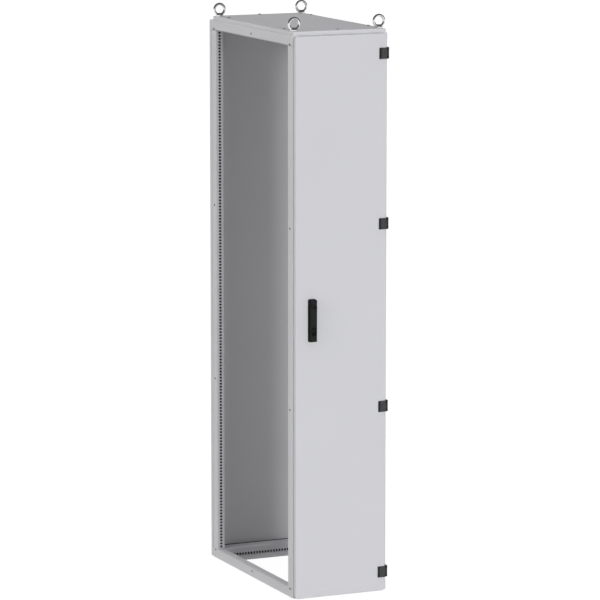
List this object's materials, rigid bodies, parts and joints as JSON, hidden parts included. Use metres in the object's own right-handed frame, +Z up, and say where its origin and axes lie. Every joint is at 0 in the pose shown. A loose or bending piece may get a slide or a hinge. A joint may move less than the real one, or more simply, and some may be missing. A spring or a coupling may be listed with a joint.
{
  "type": "switchboard cabinet",
  "caption": "Floor-standing sheet-steel switchboard cabinet: open frame with roof, rear panel, lifting eyes and a right-hung door with rod lock and swing handle.",
  "frame": {"origin": "bottom centre of the whole cabinet: under the middle of its width and of its depth, handle and rear panel included", "axes": "+Z up, -Y out of the door, +X to the hinge side"},
  "size_m": [0.411, 0.8726, 2.2693],
  "materials": {
    "powder_coat": "light grey textured powder coat",
    "zinc_plate": "zinc plated, dull",
    "bright_steel": "bright plated",
    "black_hinge": "black, satin",
    "black_handle": "black glass-filled nylon, fine grain",
    "dark_zinc": "blackened zinc",
    "seal_foam": "foamed polyurethane, matt dark grey",
    "brass": "plain"
  },
  "bodies": {
    "cabinet_frame": {"base_rail_left": "powder_coat", "base_rail_right": "powder_coat", "base_rail_front": "powder_coat", "base_rail_rear": "powder_coat", "top_rail_left": "powder_coat", "top_rail_right": "powder_coat", "top_rail_front": "powder_coat", "top_rail_rear": "powder_coat", "post_front_left": "powder_coat", "post_front_right": "powder_coat", "post_rear_left": "powder_coat", "post_rear_right": "powder_coat", "earth_stud": "brass", "roof_panel": "powder_coat", "roof_screw_1": "zinc_plate", "roof_screw_2": "zinc_plate", "roof_screw_3": "zinc_plate", "roof_screw_4": "zinc_plate", "roof_screw_5": "zinc_plate", "roof_screw_6": "zinc_plate", "lifting_sleeve_front_left": "zinc_plate", "lifting_sleeve_front_right": "zinc_plate", "lifting_sleeve_rear_left": "zinc_plate", "lifting_sleeve_rear_right": "zinc_plate", "eyebolt_front_left": "bright_steel", "eyebolt_front_right": "bright_steel", "eyebolt_rear_left": "bright_steel", "eyebolt_rear_right": "bright_steel", "rear_panel": "powder_coat", "rear_seal": "seal_foam", "hinge_frame_leaf_1": "black_hinge", "hinge_frame_leaf_2": "black_hinge", "hinge_frame_leaf_3": "black_hinge", "hinge_frame_leaf_4": "black_hinge", "hinge_pin_1": "zinc_plate", "hinge_pin_2": "zinc_plate", "hinge_pin_3": "zinc_plate", "hinge_pin_4": "zinc_plate"},
    "door": {"door_panel": "powder_coat", "door_seal": "seal_foam", "door_stiffener_latch_side": "zinc_plate", "door_stiffener_hinge_side": "zinc_plate", "hinge_door_leaf_1": "black_hinge", "hinge_door_leaf_2": "black_hinge", "hinge_door_leaf_3": "black_hinge", "hinge_door_leaf_4": "black_hinge", "handle_housing": "black_handle", "lock_case": "zinc_plate", "rod_guide_upper": "black_handle", "rod_guide_lower": "black_handle"},
    "handle_hub": {"handle_hub": "black_handle", "handle_pivot_pin": "zinc_plate", "drive_pinion": "zinc_plate"},
    "handle_lever": {"handle_lever": "black_handle"},
    "lock_cylinder": {"lock_cylinder": "dark_zinc"},
    "lock_rod_upper": {"lock_rod_upper": "zinc_plate"},
    "lock_rod_lower": {"lock_rod_lower": "zinc_plate"}
  },
  "joints": [
    {"name": "door_hinge", "type": "hinge", "parent": "cabinet_frame", "child": "door", "pos_m": [0.1931, -0.4047, 1.1], "axis": [0, 0, 1], "range_deg": [0, 130]},
    {"name": "handle_turn", "type": "hinge", "parent": "door", "child": "handle_hub", "pos_m": [-0.13, -0.4215, 1.172], "axis": [0, -1, 0], "range_deg": [0, 90]},
    {"name": "handle_lift", "type": "hinge", "parent": "handle_hub", "child": "handle_lever", "pos_m": [-0.13, -0.4285, 1.1545], "axis": [-1, 0, 0], "range_deg": [0, 40]},
    {"name": "cylinder_turn", "type": "hinge", "parent": "handle_lever", "child": "lock_cylinder", "pos_m": [-0.13, -0.4215, 1.064], "axis": [0, -1, 0], "range_deg": [0, 90]},
    {"name": "rod_upper_slide", "type": "slide", "parent": "door", "child": "lock_rod_upper", "axis": [0, 0, -1], "range_m": [0, 0.018]},
    {"name": "rod_lower_slide", "type": "slide", "parent": "door", "child": "lock_rod_lower", "axis": [0, 0, 1], "range_m": [0, 0.018]}
  ],
  "couplings": [
    {"joint": "rod_upper_slide", "follows": "handle_turn", "m_per_rad": 0.011459},
    {"joint": "rod_lower_slide", "follows": "handle_turn", "m_per_rad": 0.011459}
  ]
}
